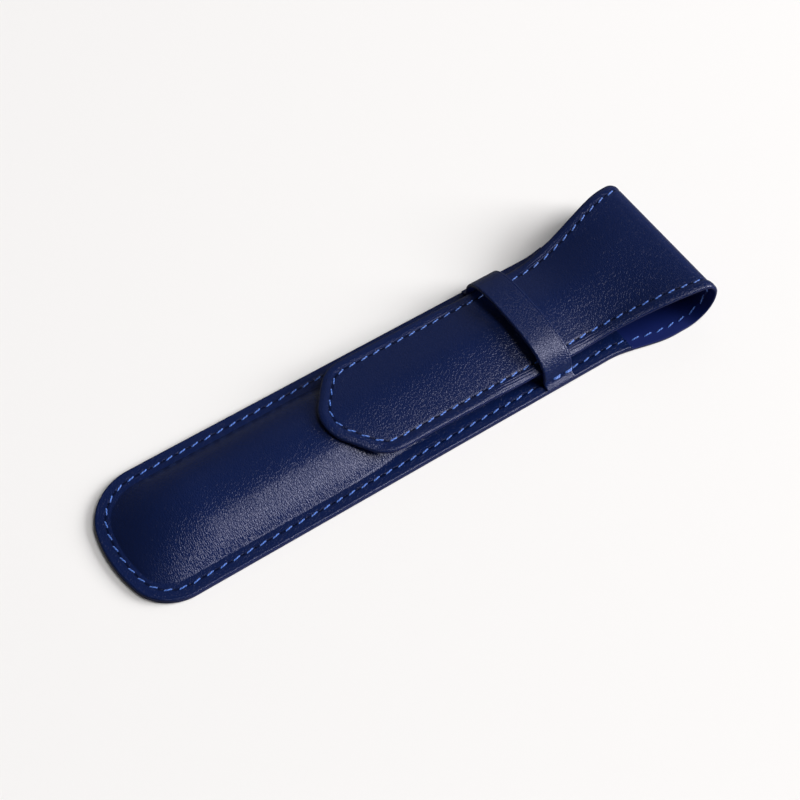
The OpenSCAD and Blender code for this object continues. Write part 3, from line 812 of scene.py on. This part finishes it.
strap_outer = cut_outer("strap_outer_leather", strap_plan(), strap_relief, on_strap)
strap_lining = cut_lining("strap_lining_leather", strap_plan(), on_strap)


# Threads
def tack_spots():
    """Two doubled stitches, laid side by side, on each foot of the strap."""
    foot_in, strand_off = 2.4, 0.27
    spots = []
    for foot in (foot_in, STRAP_AT[-1] - foot_in):
        for x in (123.6, 127.4):
            for strand in (-strand_off, strand_off):
                way = (0.1 * np.sign(strand), 0.995)
                spots.append(((foot + strand, x - STRAP_MID), way, 1.35))
    return spots


front_thread = sew("body_seam_thread", SHOWN_SPOTS, on_front, EDGE_T - 0.12)
tack_thread = sew("strap_tack_stitches", tack_spots(), on_strap, OUTER_T + 0.02, radius=TACK_R, slant=0)
# the second thread of a saddle stitch shows on the underside, drawn deeper into the leather
back_thread = sew("back_seam_thread", BODY_SPOTS, on_strip, OUTER_T - 0.12, dip=0.3, sunk=1.7)
flap_thread = sew("flap_seam_thread", FLAP_SPOTS, on_strip, OUTER_T - 0.1, slant=FLAP_SLANT)
under_thread = sew("flap_under_thread", FLAP_SPOTS, on_strip, -LINING_T, way=-1, sunk=0.2)
# five stitches a side lie between the mouth and the fold, and one on each piece of the fold
extension_thread = sew("mouth_extension_seam_thread", side_spots(MOUTH_X + 1, MID_S[0], 5, 1.4),
                       on_strip, -LINING_T, way=-1, sunk=0.1)
fold_threads = []
for k in range(1, 5):
    fold_reach = 0.36 * (MID_S[k] - MID_S[k - 1])
    fold_threads.append(sew(f"fold_{k}_seam_thread", side_spots(MID_S[k - 1], MID_S[k], 1, fold_reach),
                            on_strip, -LINING_T, way=-1, sunk=0.1, dip=0.3))


# What each piece stands for; the fixed ones ride on the sleeve
def strip_point(s):
    """The middle of the strip's glue line at length s, in the frame."""
    x, _, z = on_strip(np.array([s]), np.array([0.0]), np.array([0.0]))
    return ((float(x[0]) - TOTAL_L / 2) * MM, 0.0, float(z[0]) * MM)


# The bend runs a little past the first hinge and past the last
BEND_STOPS = [BEND_S - 2.2] + MID_S + [TOP_S + 1.5]


def across(obj, k, slot, *nodes):
    """The piece lies over hinge k of the six. Its transform is baked in place, and the parts it stands for
    are hidden.
    """
    start, stop = strip_point(BEND_STOPS[k - 1]), strip_point(BEND_STOPS[k])
    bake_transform(obj)
    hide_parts(*nodes)


def fixed(obj, slot, *nodes):
    """The piece is sewn to the sleeve and never moves on it."""
    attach(obj, "sleeve")
    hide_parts(*nodes)


fixed(front_outer, "outer_leather", "front_outer")
fixed(front_lining, "lining_leather", "front_lining")
fixed(strap_outer, "outer_leather", "strap_outer")
fixed(strap_lining, "lining_leather", "strap_lining")
fixed(front_thread, "thread", "seam_thread")
fixed(back_thread, "thread", "seam_thread")
fixed(tack_thread, "thread", "strap_tack_thread")
across(back_outer, 1, "outer_leather", "back_outer", "fold_1_outer")
across(back_lining, 1, "lining_leather", "back_lining", "fold_1_lining")
across(extension_thread, 1, "thread", "mouth_extension_thread", "fold_1_thread")
for k in range(1, 5):
    across(fold_outers[k - 1], k + 1, "outer_leather", f"fold_{k}_outer", f"fold_{k + 1}_outer")
    across(fold_linings[k - 1], k + 1, "lining_leather", f"fold_{k}_lining", f"fold_{k + 1}_lining")
    across(fold_threads[k - 1], k + 1, "thread", f"fold_{k}_thread", f"fold_{k + 1}_thread")
across(flap_outer, 6, "outer_leather", "fold_5_outer", "flap_outer")
across(flap_lining, 6, "lining_leather", "fold_5_lining", "flap_lining")
across(flap_thread, 6, "thread", "flap_thread")
across(under_thread, 6, "thread", "fold_5_thread")

bpy.data.objects.remove(STITCH)

# Floor, light and camera. The floor is a hair below the sleeve, so that they never flicker.
bpy.ops.mesh.primitive_plane_add(size=40, location=(0, 0, -0.00002))
floor = bpy.context.object
floor.name = "floor"
# uncoated white paper: plain and matt, and mid grey where the leather mirrors it
paper, tree, shader = new_material("white_paper")
way_seen = add_node(tree, "ShaderNodeLightPath")
tone = add_node(tree, "ShaderNodeMix", {"Factor": way_seen.outputs["Is Glossy Ray"]}, data_type="RGBA")
tone.inputs["A"].default_value = linear("#f4f2f1")
tone.inputs["B"].default_value = linear("#707070")
tree.links.new(tone.outputs["Result"], shader.inputs["Base Color"])
shader.inputs["Roughness"].default_value = 0.9
shader.inputs["Specular IOR Level"].default_value = 0.1
floor.data.materials.append(paper)

world = bpy.data.worlds.new("studio")
world.use_nodes = True
bpy.context.scene.world = world
world.node_tree.nodes["Background"].inputs["Color"].default_value = (1, 1, 1, 1)
# a dim grey room round the lamps, which the camera sees as more of the pale paper
way_seen = add_node(world.node_tree, "ShaderNodeLightPath")
level = add_node(world.node_tree, "ShaderNodeMapRange", {"Value": way_seen.outputs["Is Camera Ray"]},
                 To_Min=0.07, To_Max=1)
world.node_tree.links.new(level.outputs[0], world.node_tree.nodes["Background"].inputs["Strength"])


def softbox(name, centre, width_axis, distance, size, power):
    """A rectangular lamp that faces the object from a direction, turned so that its width
    runs along the given axis."""
    data = bpy.data.lights.new(name, "AREA")
    data.shape = "RECTANGLE"
    data.size, data.size_y = size
    data.energy = power
    lamp = bpy.data.objects.new(name, data)
    bpy.context.collection.objects.link(lamp)
    out = Vector(centre).normalized()
    wide = Vector(width_axis)
    wide = (wide - wide.dot(out) * out).normalized()
    turn = Matrix((wide, out.cross(wide), out)).transposed().to_4x4()
    lamp.matrix_world = Matrix.Translation(out * distance) @ turn


# Large soft lamps: one high in front, which the crown mirrors as its long highlight, a strong
# one past the fold, and a weak one behind
softbox("front_softbox", (0.372, -0.33, 0.868), (1, 0, 0), 5.25, (1.7, 3.6), 152)
softbox("side_softbox", (0.8, -0.42, 0.43), (0, 1, 0), 6, (3.6, 2.7), 480)
softbox("back_softbox", (0.58, 0.66, 0.48), (0.8, -0.6, 0), 5.25, (3.6, 3.0), 8)

# the camera's place and lens were solved from the photo's edges and stitch lines
camera_data = bpy.data.cameras.new("camera")
camera_data.lens = 67.168
camera_data.sensor_width = 36
camera_data.clip_start, camera_data.clip_end = 0.01, 100
camera = bpy.data.objects.new("camera", camera_data)
bpy.context.collection.objects.link(camera)
bpy.context.scene.camera = camera
camera.matrix_world = Matrix((
    (0.83287969, 0.45986095, -0.30795995, -0.12193),
    (-0.55343935, 0.69607483, -0.45736715, -0.18001),
    (0.00403788, 0.55136897, 0.83425174, 0.32914),
    (0, 0, 0, 1)))
bpy.context.scene.view_settings.view_transform = "Standard"
